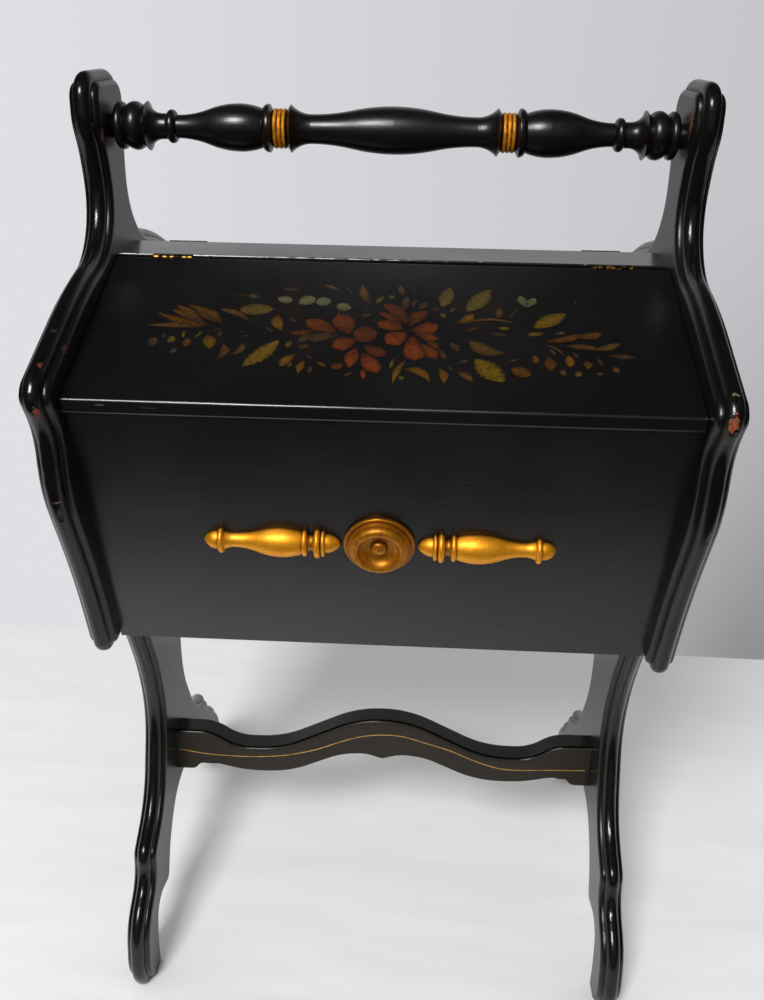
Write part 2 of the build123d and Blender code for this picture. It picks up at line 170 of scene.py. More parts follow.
def makeWall():
    mesh = bpy.data.meshes.new("wall")
    left, right = -wallForm["reach"], wallForm["reach"]
    foot, top = wallForm["foot"], wallForm["top"]
    corners = [(left, foot), (right, foot), (right, top), (left, top)]
    mesh.from_pydata([(x, wallForm["line"] + wallForm["turn"] * x, z) for x, z in corners], [], [(0, 1, 2, 3)])
    wall = addObject("wall", mesh)
    material, tree, shader, place = startMaterial("paintedWall")  # matt emulsion, a pale blue grey; paler to the left, darker to the right and in the lower right corner, as painted light and painted shadow
    at = axes(tree, place)
    # painted light and shadow: paler on the left, darker on the right, and the low colour darkens the lower right
    # corner as the cabinet's cast shadow
    side = rampTo(tree, at["X"], *wallForm["across"])
    castShadowSide = rampTo(tree, at["X"], *wallForm["shadowAcross"])
    low = calc(tree, "MULTIPLY", castShadowSide, rampTo(tree, at["Z"], *wallForm["shadowHeight"]))
    colour = blendColour(tree, side, wallForm["left"], wallForm["right"])
    colour = blendColour(tree, low, colour, wallForm["low"])
    rays = addNode(tree, "ShaderNodeLightPath").outputs
    outward = calc(tree, "MULTIPLY_ADD", outFrom(tree, at["X"]), wallForm["sideways"], at["Z"])
    above = rampTo(tree, outward, *wallForm["above"])
    beside = rampTo(tree, outFrom(tree, at["X"]), *wallForm["beside"])
    dim = calc(tree, "MULTIPLY", calc(tree, "MAXIMUM", above, beside), rays["Is Glossy Ray"])
    colour = blendColour(tree, dim, colour, wallForm["dark"])
    paint = addNode(tree, "ShaderNodeEmission", {"Color": colour, "Strength": 1.0})
    clear = addNode(tree, "ShaderNodeBsdfTransparent")
    away = addNode(tree, "ShaderNodeNewGeometry").outputs["Backfacing"]
    lighting = calc(tree, "MAXIMUM", rays["Is Shadow Ray"], rays["Is Diffuse Ray"])  # it neither lights nor shades
    hidden = calc(tree, "MAXIMUM", away, lighting)
    mixed = addNode(tree, "ShaderNodeMixShader", {0: hidden, 1: paint.outputs[0], 2: clear.outputs[0]})
    tree.links.new(mixed.outputs[0], tree.nodes["Material Output"].inputs["Surface"])
    mesh.materials.append(material)


floorForm = {"colour": "#ecedec", "dark": "#161514", "size": 16,
             "turn": 0.35, "stretch": 3.2, "strength": 0.6, "gritShare": 0.03,
             "waves": 260, "grit": 3.0, "depth": 12,  # mm
             "end": (-0.27, -0.43),  # past its front end
             "rightward": (-0.05, 0.25), "rightShare": 0.4, "forward": (-0.05, -0.2)}  # the front right quarter


def makeFloor():
    bpy.ops.mesh.primitive_plane_add(size=floorForm["size"])
    floor = bpy.context.object
    floor.name = "floor"
    material, tree, shader, place = startMaterial("paleFloor", Roughness=0.9)  # dull white, so the piece stands clear
    drawn = addNode(tree, "ShaderNodeMapping", {
        "Vector": place, "Rotation": (0, 0, floorForm["turn"]), "Scale": (1, floorForm["stretch"], 1)}).outputs[0]
    waves = noise(tree, drawn, floorForm["waves"], 2.0)
    grit = noise(tree, place, floorForm["grit"], 2.0)
    height = calc(tree, "MULTIPLY_ADD", grit, floorForm["gritShare"], waves)
    addBump(tree, shader, height, floorForm["depth"], floorForm["strength"])
    at = axes(tree, place)
    toFront = rampTo(tree, at["Y"], *floorForm["end"])
    toRight = rampTo(tree, at["X"], *floorForm["rightward"], 0.0, floorForm["rightShare"])
    front = rampTo(tree, at["Y"], *floorForm["forward"])
    gone = calc(tree, "MAXIMUM", toFront, calc(tree, "MULTIPLY", toRight, front))
    mirrored = addNode(tree, "ShaderNodeLightPath").outputs["Is Glossy Ray"]
    ground = blendColour(tree, calc(tree, "MULTIPLY", gone, mirrored), floorForm["colour"], floorForm["dark"])
    tree.links.new(ground, shader.inputs["Base Color"])
    floor.data.materials.append(material)


light = {"place": (-0.64, -1.7, 2.14), "target": (0, 0, 0.3), "size": 0.75, "power": 52}  # metres and watts


def makeLight():
    data = bpy.data.lights.new("softLight", "AREA")
    data.size = light["size"]
    data.energy = light["power"]
    lamp = addObject("softLight", data)
    lamp.location = light["place"]
    toward = Vector(light["target"]) - Vector(light["place"])
    lamp.rotation_euler = toward.to_track_quat("-Z", "Y").to_euler()


makeWorld()
makeWall()
makeFloor()
makeLight()
print("room ready")

# Ebonised wood: black stain under rubbed lacquer; deep black with a clear gloss, a trace of open grain, and
# red-brown wood where knocks have chipped it
ebony = {
    "stain": "#070605", "thin": "#0b0908",  # the lacquer, and where the grain lets a little brown through
    "paintedLitFront": "#23201c", "paintedLitFrontStreak": "#2f2921",  # the stretcher's front face: painted light, lighter and browner than its shaded top, for the floor's reflection on it
    "grainAcross": 0.7, "grainAlong": 40.0, "cloud": 70, "pores": 0.05,  # mm
    "grainRange": (0.35, 0.7), "cloudRange": (0.3, 0.7),
    "flatRoughness": 0.27, "mouldedRoughness": 0.19, "cloudRoughness": 0.05,
    "headRoughness": 0.15, "quirkRoughness": 0.12, "bareRoughness": 0.2}
moulding = {"flatFacing": (0.97, 0.995), "heads": (0.45, 0.52), "quirk": (0.1712, 0.1702)}  # metres
inside = {"wood": "#6d4526", "streak": "#4c2c16", "grainRange": (0.3, 0.7),  # plain birch, varnished brown
          "facing": {"cover": -0.925, "front": -0.7, "panel": -0.03, "end": -0.1},  # how far a bare face turns, and for the front, how far the stretcher's painted-light front face turns
          "floor": 0.298, "wallSlope": 0.2364, "wallFoot": 0.0162, "roofSlope": 0.4, "roofTop": 0.5208}  # metres

# Knocks: what a chip is like, then each one's centre and half-size in mm and the colour that shows
chip = {"ragged": 1.6, "raggedShare": 2.6, "edge": (2.2, 2.1), "dirt": 2.2, "dirtRange": (0.35, 0.6),
        "roughness": 0.6, "deep": 4.0}
knocks = {
    "left_end": [
        ((-171.2, -153.1, 471.7), (1.7, 2.6, 4.8), "#8a2a04"), ((-171.3, -139.3, 492.1), (1.4, 1.8, 1.6), "#5a2410"),
        ((-165.8, -118.3, 493.4), (1.4, 3.0, 2.6), "#3c1a12"), ((-171.6, -114.9, 502.4), (1.6, 1.6, 1.2), "#4c2a1a"),
        ((-171.5, -145.4, 417.1), (3.2, 3.0, 0.7), "#5a4030"), ((-168.6, -25.4, 594.7), (1.5, 1.6, 1.8), "#5a3820"),
        ((-165.6, -20.2, 589.0), (1.2, 1.5, 6.0), "#583220")],
    "right_end": [
        ((172.4, -153.9, 478.2), (2.6, 4.6, 6.0), "#8c3c00"), ((173.1, -145.9, 489.6), (2.0, 1.2, 0.9), "#7c6a40"),
        ((165.3, -18.0, 602.0), (1.0, 3.2, 9.0), "#7c4424")],
    "front_lid": [
        ((-143.5, -139.3, 471.6), (3.4, 0.8, 0.42), "#3a3a36"),
        ((-118.0, -139.3, 470.6), (5.0, 0.8, 0.3), "#30302e")]}


def woodGrain(tree, place, along, across=ebony["grainAcross"]):
    scale = [1 / (across * mm)] * 3
    scale["XYZ".index(along)] = 1 / (ebony["grainAlong"] * mm)
    stretched = addNode(tree, "ShaderNodeMapping", {"Vector": place, "Scale": scale}).outputs[0]
    return addNode(tree, "ShaderNodeTexNoise", {"Vector": stretched, "Scale": 1.0, "Detail": 3.0}).outputs[0]


def measure(tree, operation, first, second, output=0):  # second: three lengths in mm, or none
    links = {0: first} if second is None else {0: first, 1: [part * mm for part in second]}
    return addNode(tree, "ShaderNodeVectorMath", links, operation=operation).outputs[output]


def knockMask(tree, place, centre, half):  # 1 inside a ragged patch
    offset = measure(tree, "SUBTRACT", place, centre)
    scaled = measure(tree, "DIVIDE", offset, half)
    reach = measure(tree, "LENGTH", scaled, None, "Value")
    ragged = noise(tree, place, chip["ragged"], 4.0)
    return rampTo(tree, calc(tree, "MULTIPLY_ADD", ragged, chip["raggedShare"], reach), *chip["edge"])


def bareOrPaintedLightMask(tree, place, form):  # 1 inside the box, where the wood isn't lacquered, or on the stretcher's front face, where a lighter brown is painted light
    at = axes(tree, place)
    facing = axes(tree, addNode(tree, "ShaderNodeTexCoord").outputs["Normal"])
    limit = inside["facing"][form]
    if form == "cover":
        return calc(tree, "LESS_THAN", facing["Z"], limit)
    if form == "front":
        return calc(tree, "LESS_THAN", facing["Y"], limit)
    if form == "panel":
        return calc(tree, "LESS_THAN", calc(tree, "MULTIPLY", facing["Y"], at["Y"]), limit)
    inward = calc(tree, "LESS_THAN", calc(tree, "MULTIPLY", facing["X"], at["X"]), limit)
    out = outFrom(tree, at["Y"])
    side = calc(tree, "MULTIPLY_ADD", at["Z"], inside["wallSlope"], inside["wallFoot"])
    roof = calc(tree, "MULTIPLY_ADD", out, -inside["roofSlope"], inside["roofTop"])
    within = calc(tree, "MULTIPLY", calc(tree, "LESS_THAN", out, side), calc(tree, "LESS_THAN", at["Z"], roof))
    above = calc(tree, "GREATER_THAN", at["Z"], inside["floor"])
    return calc(tree, "MULTIPLY", calc(tree, "MULTIPLY", inward, within), above)


def mouldedSheen(tree, place):  # the moulding is rubbed brighter than the board's flat sides
    facing = axes(tree, addNode(tree, "ShaderNodeTexCoord").outputs["Normal"])
    at = axes(tree, place)
    flat = rampTo(tree, outFrom(tree, facing["X"]), *moulding["flatFacing"])
    high = calc(tree, "MULTIPLY", flat, rampTo(tree, at["Z"], *moulding["heads"]))
    sheen = rampTo(tree, flat, 0, 1, ebony["mouldedRoughness"], ebony["flatRoughness"])
    sheen = calc(tree, "MULTIPLY_ADD", high, ebony["headRoughness"], sheen)
    quirk = rampTo(tree, outFrom(tree, at["X"]), *moulding["quirk"], 0.0, ebony["quirkRoughness"])
    quirk = calc(tree, "MULTIPLY", quirk, rampTo(tree, flat, 1, 0))
    return calc(tree, "ADD", sheen, quirk)  # the narrow inner bead is duller


def ebonised(name, along, piece=None, form=None, thin=ebony["thin"], roughness=ebony["flatRoughness"], gloss=1.64):
    material, tree, shader, place = startMaterial(name, IOR=gloss)
    grain = woodGrain(tree, place, along)
    colour = blendColour(tree, rampTo(tree, grain, *ebony["grainRange"]), ebony["stain"], thin)
    if piece in ("left_end", "right_end"):
        sheen = mouldedSheen(tree, place)
    else:
        cloud, spread = noise(tree, place, ebony["cloud"], 4.0), ebony["cloudRoughness"]
        sheen = rampTo(tree, cloud, *ebony["cloudRange"], roughness - spread, roughness + spread)
    depth = grain
    if form:
        mask = bareOrPaintedLightMask(tree, place, form)
        wood, streak = inside["wood"], inside["streak"]
        # the stretcher's front face: lighter and browner than its top, painted light for the floor's reflection
        if form == "front":
            wood, streak = ebony["paintedLitFront"], ebony["paintedLitFrontStreak"]
        bareOrLitColour = blendColour(tree, rampTo(tree, grain, *inside["grainRange"]), wood, streak)
        colour = blendColour(tree, mask, colour, bareOrLitColour)
        sheen = calc(tree, "MULTIPLY_ADD", mask, ebony["bareRoughness"], sheen)
    for centre, half, shown in knocks.get(piece, []):
        mask = knockMask(tree, place, centre, half)
        dirt = rampTo(tree, noise(tree, place, chip["dirt"]), *chip["dirtRange"])
        colour = blendColour(tree, calc(tree, "MULTIPLY", mask, dirt), colour, shown)
        sheen = calc(tree, "MAXIMUM", sheen, calc(tree, "MULTIPLY", mask, chip["roughness"]))
        depth = calc(tree, "SUBTRACT", depth, calc(tree, "MULTIPLY", mask, chip["deep"]))
    tree.links.new(colour, shader.inputs["Base Color"])
    tree.links.new(sheen, shader.inputs["Roughness"])
    addBump(tree, shader, depth, ebony["pores"])
    return material, tree, shader, place


def dress(node, material):
    piece = nodes[node]
    piece.data.materials.clear()
    piece.data.materials.append(material)


for name in ("left_end", "right_end"):
    dress(name, ebonised("ebonised_" + name, "Z", name, "end", gloss=1.5)[0])
dress("front_lid", ebonised("ebonised_front_lid", "X", "front_lid", "cover")[0])
dress("back_lid", ebonised("ebonisedBackLid", "X", form="cover")[0])
panelWood = ebonised("ebonisedPanel", "X", form="panel")[0]
dress("front_panel", panelWood)
dress("back_panel", panelWood)
# its front face is painted lighter and browner than its top: painted light
dress("stretcher", ebonised("ebonisedStretcher", "X", form="front", roughness=0.2, gloss=1.3)[0])

# The rail's front arris shows pale dashes, fewer to the right: partly rubbed through to gesso and partly a painted
# highlight for glints on the lacquer; metres
railEdge = {"height": (0.52165, 0.5219), "front": (-0.0184, -0.0187), "dashes": (160, 900, 900),
            "fading": (-0.13, 0.05), "kept": (0.36, 0.66), "gessoAndHighlight": "#a8a49c"}


def makeRailFinish():
    material, tree, shader, place = ebonised("ebonisedRail", "X", form="cover")
    at = axes(tree, place)
    front = rampTo(tree, at["Y"], *railEdge["front"])
    edge = calc(tree, "MULTIPLY", rampTo(tree, at["Z"], *railEdge["height"]), front)
    dashes = addNode(tree, "ShaderNodeMapping", {"Vector": place, "Scale": railEdge["dashes"]}).outputs[0]
    broken = addNode(tree, "ShaderNodeTexNoise", {"Vector": dashes, "Scale": 1.0, "Detail": 4.0}).outputs[0]
    fading = rampTo(tree, at["X"], *railEdge["fading"], *railEdge["kept"])
    # pale dashes along the arris: worn gesso and painted highlight
    worn = calc(tree, "MULTIPLY", edge, calc(tree, "GREATER_THAN", broken, fading))
    base = shader.inputs["Base Color"].links[0].from_socket
    tree.links.new(blendColour(tree, worn, base, railEdge["gessoAndHighlight"]), shader.inputs["Base Color"])
    return material


dress("top_rail", makeRailFinish())
print("ebonised wood ready")

# Gilt: bronze-powder paint over gesso, warm and satin, browner in the hollows where the brush left it thick, and
# darker in the creases and at the rims against the panel as painted shade
gilt = {"gold": "#fba010", "bright": "#ffb628", "worn": "#3a1e04",
        "dull": "#a86806", "dullBright": "#cc820a",  # the flat disc is browner and darker
        "speck": 1.2, "patch": 9.0, "hollow": 4.0, "grit": 0.9,  # mm
        "speckRange": (0.35, 0.7), "patchRange": (0.5, 0.8), "pitRange": (0.58, 0.7), "patinaAndShadeRange": (0.45, 0.9),
        "patchShare": 0.18, "pitShare": 0.28}
bands = {"from": 62.5, "to": 70.0, "metal": 0.5, "roughness": 0.5}  # gilt coves of the handle, mm from its middle


def giltColour(tree, place, gold, bright):
    speckle = noise(tree, place, gilt["speck"] * 2, 5.0)
    patches = noise(tree, place, gilt["patch"], 3.0)
    body = blendColour(tree, rampTo(tree, speckle, *gilt["speckRange"]), gold, bright)
    dulled = rampTo(tree, patches, *gilt["patchRange"], 0.0, gilt["patchShare"])
    body = blendColour(tree, dulled, body, gilt["worn"])
    # occluded hollows, creases and rims darken to the worn colour: real patina, and painted shade where parts meet
    reach = {"Distance": gilt["hollow"] * mm}
    clear = addNode(tree, "ShaderNodeAmbientOcclusion", reach, samples=8).outputs["AO"]
    pits = rampTo(tree, noise(tree, place, gilt["speck"], 2.0), *gilt["pitRange"])
    body = blendColour(tree, calc(tree, "MULTIPLY", pits, gilt["pitShare"]), body, gilt["worn"])
    return blendColour(tree, rampTo(tree, clear, *gilt["patinaAndShadeRange"]), gilt["worn"], body)


def makeGilt(name, gold, bright):
    material, tree, shader, place = startMaterial(
        name, Metallic=0.8, Roughness=0.48, Coat_Weight=0.25, Coat_Roughness=0.36)
    tree.links.new(giltColour(tree, place, gold, bright), shader.inputs["Base Color"])
    addBump(tree, shader, noise(tree, place, gilt["grit"], 4.0), 0.1, 0.7)
    return material


goldPaint = makeGilt("giltPaint", gilt["gold"], gilt["bright"])
dress("left_spindle", goldPaint)
dress("right_spindle", goldPaint)
dress("rosette", makeGilt("giltPaintDarkened", gilt["dull"], gilt["dullBright"]))


def makeHandleFinish():  # turned and handled: a little browner than the boards, with a gilt cove at each side
    material, tree, shader, place = ebonised("ebonisedHandle", "X", roughness=0.29, thin="#110b09", gloss=1.52)
    out = outFrom(tree, axes(tree, place)["X"])
    past = calc(tree, "GREATER_THAN", out, bands["from"] * mm)
    inBand = calc(tree, "MULTIPLY", past, calc(tree, "LESS_THAN", out, bands["to"] * mm))
    base = shader.inputs["Base Color"].links[0].from_socket
    gold = giltColour(tree, place, gilt["dull"], gilt["gold"])
    tree.links.new(blendColour(tree, inBand, base, gold), shader.inputs["Base Color"])
    tree.links.new(calc(tree, "MULTIPLY", inBand, bands["metal"]), shader.inputs["Metallic"])
    sheen = shader.inputs["Roughness"].links[0].from_socket
    satin = calc(tree, "MULTIPLY", inBand, bands["roughness"])
    tree.links.new(calc(tree, "MAXIMUM", sheen, satin), shader.inputs["Roughness"])
    return material


dress("handle_rail", makeHandleFinish())


def makeBareWood():  # birch under thin brown varnish: even, fine straight grain, soft sheen
    material, tree, shader, place = startMaterial("varnishedBirch", Roughness=0.45, IOR=1.5)
    grain = woodGrain(tree, place, "X", 1.6)
    colour = blendColour(tree, rampTo(tree, grain, *inside["grainRange"]), inside["wood"], inside["streak"])
    tree.links.new(colour, shader.inputs["Base Color"])
    addBump(tree, shader, grain, 0.1)
    return material


bareWood = makeBareWood()
for name in ("bottom_board", "left_cleat", "right_cleat", "stretcher_dowels"):
    dress(name, bareWood)

# Hinges: stamped brass gone brown, whose bright patches are painted highlights along the barrel, and plain steel
# screws, blued with age
hinge = {"brass": "#9a7634", "tarnish": "#120e08", "steel": "#6c6a66", "bluing": "#3c3a38",
         "patch": 2.5, "patchRange": (0.48, 0.6)}


def makeOldMetal(name, low, high, roughness):  # brighter in patches, darker elsewhere; on the brass the bright patches are painted highlights
    material, tree, shader, place = startMaterial(name, Metallic=1.0, Roughness=roughness)
    patches = noise(tree, place, hinge["patch"], 4.0)
    brightPatches = rampTo(tree, patches, *hinge["patchRange"])
    tree.links.new(blendColour(tree, brightPatches, low, high), shader.inputs["Base Color"])
    return material


brass = makeOldMetal("agedBrass", hinge["tarnish"], hinge["brass"], 0.38)
steel = makeOldMetal("screwSteel", hinge["bluing"], hinge["steel"], 0.4)
for name in nodes:
    if name.endswith(("_leaf", "_hinge_pin")):
        dress(name, brass)
    if name.endswith("_screws"):
        dress(name, steel)
print("gilt, plain wood and hinges ready")

# Stretcher's gold line: a striping brush's single stroke, points from left to right in mm (X, Z)
stripe = {
    "face": -9.0, "half": 0.42, "lift": 0.04, "steps": 4,
    "thin": "#8a6a34", "full": "#c69a4c", "wear": 6.0, "wearRange": (0.35, 0.65), "points": [
        (-163.7, 123.7), (-145.0, 120.4), (-126.0, 119.0), (-104.3, 119.0), (-82.5, 121.2), (-66.2, 125.0),
        (-50.0, 130.6), (-36.5, 137.0), (-20.5, 143.6), (-4.7, 147.0), (11.2, 147.2), (21.8, 145.0), (35.1, 140.6),
        (53.8, 134.2), (67.4, 127.6), (83.9, 120.8), (97.4, 117.4), (110.7, 117.0), (129.2, 118.2), (162.1, 119.8)]}


def smoothLine(points, steps):  # a smooth curve through the points
    line = []
    for i in range(len(points) - 1):
        a, b, c, d = points[max(i - 1, 0)], points[i], points[i + 1], points[min(i + 2, len(points) - 1)]
        for k in range(steps):
            t = k / steps
            bend = (2 * a - 5 * b + 4 * c - d) * t * t + (3 * b - a - 3 * c + d) * t ** 3
            line.append(0.5 * (2 * b + (c - a) * t + bend))
    return line + [points[-1]]


def makeStripe():
    line = smoothLine([Vector(p) for p in stripe["points"]], stripe["steps"])
    verts, faces = [], []
    for i, here in enumerate(line):
        along = (line[min(i + 1, len(line) - 1)] - line[max(i - 1, 0)]).normalized()
        across = Vector((-along.y, along.x)) * stripe["half"]
        for side in (-1, 1):
            for depth in (-stripe["lift"], stripe["lift"]):
                spot = here + across * side
                verts.append(Vector((spot.x, stripe["face"] + depth, spot.y)) * mm)
    for i in range(len(line) - 1):
        a = 4 * i
        faces += [(a, a + 2, a + 6, a + 4), (a + 1, a + 5, a + 7, a + 3),
                  (a, a + 4, a + 5, a + 1), (a + 2, a + 3, a + 7, a + 6)]
    last = 4 * (len(line) - 1)
    faces += [(0, 1, 3, 2), (last, last + 2, last + 3, last + 1)]
    mesh = bpy.data.meshes.new("stretcher_stripe")
    mesh.from_pydata(verts, [], faces)
    piece = addObject("stretcher_stripe", mesh)
    material, tree, shader, place = startMaterial("stripingGold", Metallic=0.3, Roughness=0.4)  # bronze paint, thin
    worn = rampTo(tree, noise(tree, place, stripe["wear"], 4.0), *stripe["wearRange"])
    tree.links.new(blendColour(tree, worn, stripe["thin"], stripe["full"]), shader.inputs["Base Color"])
    mesh.materials.append(material)
    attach(piece, "cabinet")


makeStripe()

# Stencil on the front lid: flowers, leaves and berries in bronze powders. Each line is a form, a powder, then
# base and tip as x and distance down the slope from the rail, the half-width and the bow, all in mm
lid = {"edgeY": -19.0, "edgeZ": 522.4, "slope": 21.8}
powders = {"a": ("amber", "#472b03"), "b": ("brown", "#462f10"), "g": ("gold", "#573803"), "y": ("yellow", "#543f03"),
           "o": ("olive", "#473910"), "c": ("copper", "#532402"), "f": ("flame", "#5e2602"), "r": ("rust", "#451e06"),
           "d": ("dusk", "#362515"), "w": ("silver", "#4b4a30"), "s": ("smoke", "#2e2b1b")}
stencil = """
petal a -98.4 66.0 -121.0 53.4 2.2 0.0
petal a -90.2 64.2 -106.8 52.4 3.6 0.0
leaf a -97.3 67.5 -128.9 56.3 2.6 -1.8
petal a -101 66.2 -119 49.8 2.7 1.5
leaf a -89.7 65 -112.8 48.8 2.7 1.6
petal a -92 64.2 -101.6 52.4 2.5 1.0
leaf b -101 68.6 -132.2 68.2 2.2 1.0
petal b -75.5 62.8 -93.8 52.2 2.2 2.2
petal b -72.5 41.2 -79.8 38.2 1.9 0
stroke s -79.5 38.8 -90 36.4 0.35 -0.8
bud o -64 51 -82.8 52 5.2 0
bud d -125.7 78.2 -125.7 85.6 2.6 0
bud d -121 74.4 -120.6 78.8 1.1 0
bud o -115.8 77 -116.6 83 2.3 0
bud o -110.3 72.5 -110.3 78.3 1.0 0
bud a -107 79 -107.6 85.4 2.2 0
bud s -113 87.2 -113 91.6 1.7 0
stroke o -103.7 78.8 -100.6 72.2 0.9 0
leaf g -97.3 75.2 -94 86.8 3.7 -0.8
petal a -89 95.6 -87 82.6 2.5 2.6
petal b -82.4 91.4 -76.4 80.9 2.1 2.4
bud d -90.6 71.6 -90.4 76.8 1.1 0
stroke s -95.8 72 -90.4 68.6 0.4 0.3
stroke s -79.8 71.6 -76.2 70.9 0.4 0.4
stroke s -79 75.6 -74.6 74 0.35 0.4
toothed y -57.6 78.2 -74.2 100.2 5 -0.8
leaf g -60.8 55.4 -57 69.6 3.3 1.4
stroke d -66.4 67 -61.4 71 0.9 0
bud w -62.2 40.4 -54 43.4 3.4 0
bud w -50 44.6 -41.2 39.4 4.4 0
bud w -40.4 43.8 -32 41.6 4.1 0
bud w -28.4 45.2 -20.4 49 3.6 0
stroke s -26.4 50 -27 55.4 0.3 0
stroke s -24 51 -24.2 56.6 0.3 0
stroke s -21.8 51.4 -21.4 56.4 0.3 0
leaf d -49.5 32.4 -61.5 32.2 1.5 0
leaf b -27 33.2 -37.6 26.8 1.6 0.6
stroke s -25.4 26.4 -20.3 34.7 0.6 0
leaf b -9.8 43.8 -15.2 25.4 2.7 -1.2
leaf o -6.4 43.6 -2.4 36.4 1.6 0
leaf d 0.4 37.2 4.2 35.4 1.2 0
stroke s -14.8 44.2 -10 49.9 0.35 0
leaf d -14.4 55.4 -8.4 53.2 1.8 0
petal c -27 69.6 -44.6 60 5 0
petal c -19.6 71.6 -27 54.2 6.2 0.6
petal r -38 68.6 -51.7 71.6 2.3 -0.8
petal d -39.5 71.6 -46.6 79.4 2.5 0.6
petal d -24.6 72 -42 77.6 3.8 1
bud d -40.8 82.2 -46.6 83.6 2.4 0
petal c -15.4 75.4 -28 82.6 5.4 0
leaf f -15.1 82.4 -17.6 99.2 3.9 0.6
bud r -21 97.4 -27.4 98.8 2.8 0
leaf s -20.4 106.2 -15.2 102.4 1.2 0
leaf f -10.4 99.4 -9.4 107.8 1.6 0
petal r -11 80.6 1.6 88 4 0.8
petal f -11.2 86.6 -2.2 102.6 4.8 0.4
disc r -17.4 70.2 -4.2 71.8 7 0
petal g -46.6 89.2 -54.2 99.6 2.9 1
stroke o -50.4 100 -48.2 96.6 0.9 0
leaf g -41.6 94.2 -44 104.8 2.1 0.8
bud d -38 98.8 -38.4 104.2 1.2 0
leaf b -36 94.3 -29.6 99 1.2 0
leaf d -42 89.6 -37.4 92.6 1.2 0
leaf o -51 77.8 -52.4 84.2 1.8 0
leaf d -53.8 57.6 -50.2 62.4 1.2 0
petal r 11.4 61.6 -2 43.6 4.3 2.6
petal r 9.6 63 -4.4 51.6 2.5 1.2
petal c 10.4 65.6 -5 60.6 4.2 0
petal f 11.6 68.4 1.2 78.2 6.1 0
petal r 13.2 63.6 22.4 49 4.2 -1.4
petal c 14 67 29 61.2 5.2 1.2
petal c 16.2 69.6 29.6 73.6 2.7 0
petal r 21 74 29.4 81 1.9 -0.6
fan f 14.8 71.8 17.2 91.4 6 0
petal c 18.6 77.2 28.6 90 3.7 -0.8
leaf d 29.6 81.6 33.4 90.4 1.8 0
petal d 9.6 49.6 10.6 35.8 2.5 0.4
petal d 18 48.4 21.8 41.2 2.3 0
petal d 14.6 46.4 16 38.4 1.6 0
leaf r 25.4 48.4 29.4 46.6 1.4 0
bud d 36 76.4 40.4 83 2.2 0
leaf b 8.8 35.6 6.6 25.2 1.9 0
stroke s 14.4 26.6 14.6 31 0.5 0
leaf o 0 35.6 4 38 1.3 0
toothed o 31.4 45.2 35.6 26.8 4.5 0
toothed o 45 48.4 58.2 27.8 5.6 0.6
leaf b 35.4 49.8 38.4 45.6 1.3 0
bud o 30.4 50.6 33 54.6 1.7 0
petal g 39.6 58.8 48.6 50.4 2.8 1
leaf b 62.2 54.4 63.8 44.2 2.2 0
stroke b 40.2 61.4 70.8 57.8 1.1 -4.4
stroke d 43.8 66.6 51.4 63 1.1 -0.5
stroke s 68 53.6 71.6 47.2 0.4 0
bud o 62 62.4 68.4 62.6 1.6 0
leaf d 57.4 67 67.2 69.2 1.5 0
petal b 65.8 84.2 45.4 74.4 4.4 -2.6
toothed y 49 89.4 63.8 106.6 6.6 0.4
leaf d 39.4 93.4 45.4 90 1.4 0
leaf g 11 98.9 25 108.2 2.9 -3.4
leaf g 12.2 91.8 5.9 110.6 1.9 1.4
leaf o 5.6 90.2 3.8 99 1.1 0
bud o 9 104.6 11.4 107.4 1.4 0
leaf g 30 97.2 32.2 109.2 2.5 -1.2
leaf b 38.8 99.6 47.4 107.8 2.6 -1.2
stroke s 34.8 95.2 36.2 98.6 0.8 0
bud a 67.9 96.6 77.8 101 4.1 0
leaf d 66.4 91 71.2 88.6 1.1 0
petal w 78.6 43.4 75 32.8 2.8 0
petal w 78.4 43.4 84 34.6 2.7 0
stroke s 78.4 28 79.2 30.6 0.5 0
stroke s 82 28 82.8 30 0.5 0
stroke s 75 43.6 68.2 54.4 0.5 0.6
toothed y 81.6 61.4 99.8 48.2 5.1 0
bud o 78 67.6 86.6 66.2 1.8 0
leaf b 92 66.8 98.6 64.8 1.3 0
petal a 86.6 73.2 107.6 66.4 2.4 1.2
petal a 104 68.8 118.4 65 2.9 0.6
leaf b 97.6 76.2 117.4 78.6 2.2 -0.6
petal b 111 79.2 127.6 73.2 2.4 0.8
leaf d 119.6 83.4 134.8 84.2 2.1 0
stroke b 86.8 75.8 96.2 84.2 0.8 -1.6
bud d 88.8 79.4 92.2 84.2 1.4 0
leaf d 101.4 81.2 103.6 86.6 1.3 0
bud b 80.8 84.9 81 91.7 2 0
leaf a 88.2 85.6 88.6 97 3.5 0
bud g 98.8 84.8 99 93.4 2.6 0
leaf b 108 87.8 108.6 94.6 2.5 0
leaf d 114.2 85.4 116 92.2 1.3 0
bud b 121 95 124.6 94.4 2.2 0
bud b 94.6 96 94.8 100.6 1.8 0
bud o 102.6 96.8 102.6 101 1.9 0
bud d 112 98.6 115.8 98.4 1.2 0
disc a 105.4 37.2 107 37.4 0.9 0
"""
forms = {  # where the form is widest, how blunt it is, and its number of teeth
    "petal": (0.64, 0.75, 0), "leaf": (0.48, 0.95, 0), "toothed": (0.5, 0.7, 7), "bud": (0.5, 0.5, 0),
    "disc": (0.5, 0.5, 0), "stroke": (0.45, 0.5, 0), "fan": (0.78, 0.6, 0)}
spans, rows = 14, 6  # faces along and across each form
coat = {"lift": 0.05, "step": 0.0012, "sunk": -0.03,  # mm: each form lies a little above the one before
        "fadeFrom": 0.35, "fadeRate": 1.6, "edge": 0.6, "tip": 0.3,
        "dab": 2.2, "dabRange": (0.32, 0.68), "dabShare": (0.5, 1.35)}
tooth = {"root": 0.82, "rise": 0.3}  # a toothed leaf's edge, as a share of its width
leastWidth = 0.05


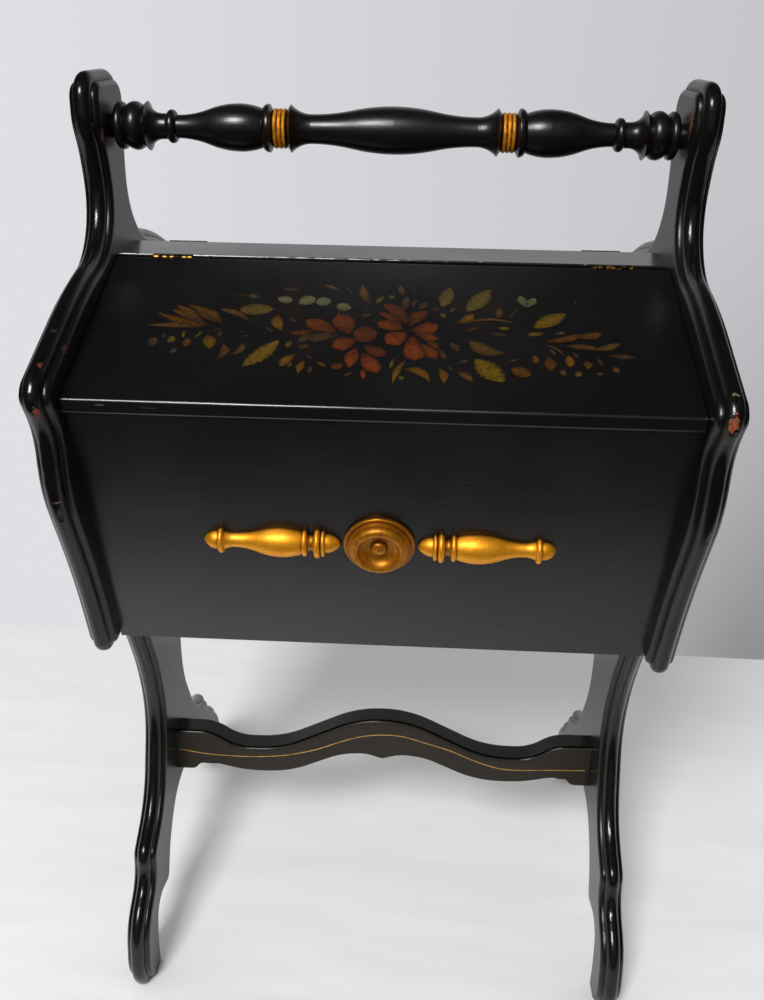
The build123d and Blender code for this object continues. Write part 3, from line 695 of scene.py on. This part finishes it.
def shapeWidth(form, t):
    widest, blunt, teeth = forms[form]
    s = t / (2 * widest) if t < widest else 0.5 + (t - widest) / (2 * (1 - widest))
    width = sin(pi * min(max(s, 0.0), 1.0)) ** blunt
    if teeth:
        width *= tooth["root"] + tooth["rise"] * ((t * teeth) % 1.0)
    return max(width, leastWidth)


def powderAmount(form, t, v):  # dabbed on full at the tip of a petal, thin at its base and edges
    even = form in ("bud", "disc", "toothed")
    fade = 1.0 if even else coat["fadeFrom"] + (1 - coat["fadeFrom"]) * min(1.0, coat["fadeRate"] * t)
    return fade * (1 - coat["edge"] * abs(v) ** 2.5) * (1 - coat["tip"] * t ** 6)


def gridFaces(first, steps):  # the top and bottom of one form, and the wall round its rim
    count = (steps + 1) * (rows + 1)
    faces = []
    for i in range(steps):
        for j in range(rows):
            a = first + i * (rows + 1) + j
            faces.append((a, a + rows + 1, a + rows + 2, a + 1))
            b = a + count
            faces.append((b, b + 1, b + rows + 2, b + rows + 1))
    ring = [i * (rows + 1) for i in range(steps + 1)] + [steps * (rows + 1) + j for j in range(1, rows + 1)]
    ring += [i * (rows + 1) + rows for i in range(steps - 1, -1, -1)] + list(range(rows - 1, 0, -1))
    for i, here in enumerate(ring):
        onward = ring[(i + 1) % len(ring)]
        faces.append((first + here, first + here + count, first + onward + count, first + onward))
    return faces


def powderPaint(name, code):  # bronze powder dabbed onto tacky varnish: soft deep colour with a quiet gloss
    material, tree, shader, place = startMaterial("bronzePowder_" + name, Roughness=0.3, IOR=1.5)
    amount = addNode(tree, "ShaderNodeAttribute", attribute_name="powder").outputs["Fac"]
    dabbed = rampTo(tree, noise(tree, place, coat["dab"], 4.0), *coat["dabRange"], *coat["dabShare"])
    cover = calc(tree, "MULTIPLY", amount, dabbed)
    tree.links.new(blendColour(tree, cover, ebony["stain"], code), shader.inputs["Base Color"])
    return material


def makeStencil():
    tilt = radians(lid["slope"])
    start = Vector((0, lid["edgeY"], lid["edgeZ"]))
    down = Vector((0, -cos(tilt), -sin(tilt)))
    up = Vector((0, -sin(tilt), cos(tilt)))
    verts, faces, strength, powder = [], [], [], []
    for number, line in enumerate(stencil.strip().split("\n")):
        form, kind = line.split()[:2]
        x0, s0, x1, s1, half, bow = [float(v) for v in line.split()[2:]]
        long = hypot(x1 - x0, s1 - s0)
        side = ((s0 - s1) / long, (x1 - x0) / long)
        steps = 3 * spans if forms[form][2] else spans
        first = len(verts)
        for layer in (coat["lift"] + coat["step"] * number, coat["sunk"]):
            for i in range(steps + 1):
                t = i / steps
                width = half * shapeWidth(form, t)
                swing = bow * 4 * t * (1 - t)
                for j in range(rows + 1):
                    v = 2 * j / rows - 1
                    x = x0 + (x1 - x0) * t + side[0] * (swing + width * v)
                    s = s0 + (s1 - s0) * t + side[1] * (swing + width * v)
                    verts.append((start + Vector((x, 0, 0)) + down * s + up * layer) * mm)
                    strength.append(powderAmount(form, t, v))
        faces += gridFaces(first, steps)
        powder += [list(powders).index(kind)] * (len(faces) - len(powder))
    mesh = bpy.data.meshes.new("lid_stencil")
    mesh.from_pydata(verts, [], faces)
    mesh.attributes.new("powder", "FLOAT", "POINT").data.foreach_set("value", strength)
    for name, code in powders.values():
        mesh.materials.append(powderPaint(name, code))
    mesh.polygons.foreach_set("material_index", powder)
    piece = addObject("lid_stencil", mesh)
    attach(piece, "front_lid")


makeStencil()
print("stripe and stencil ready")
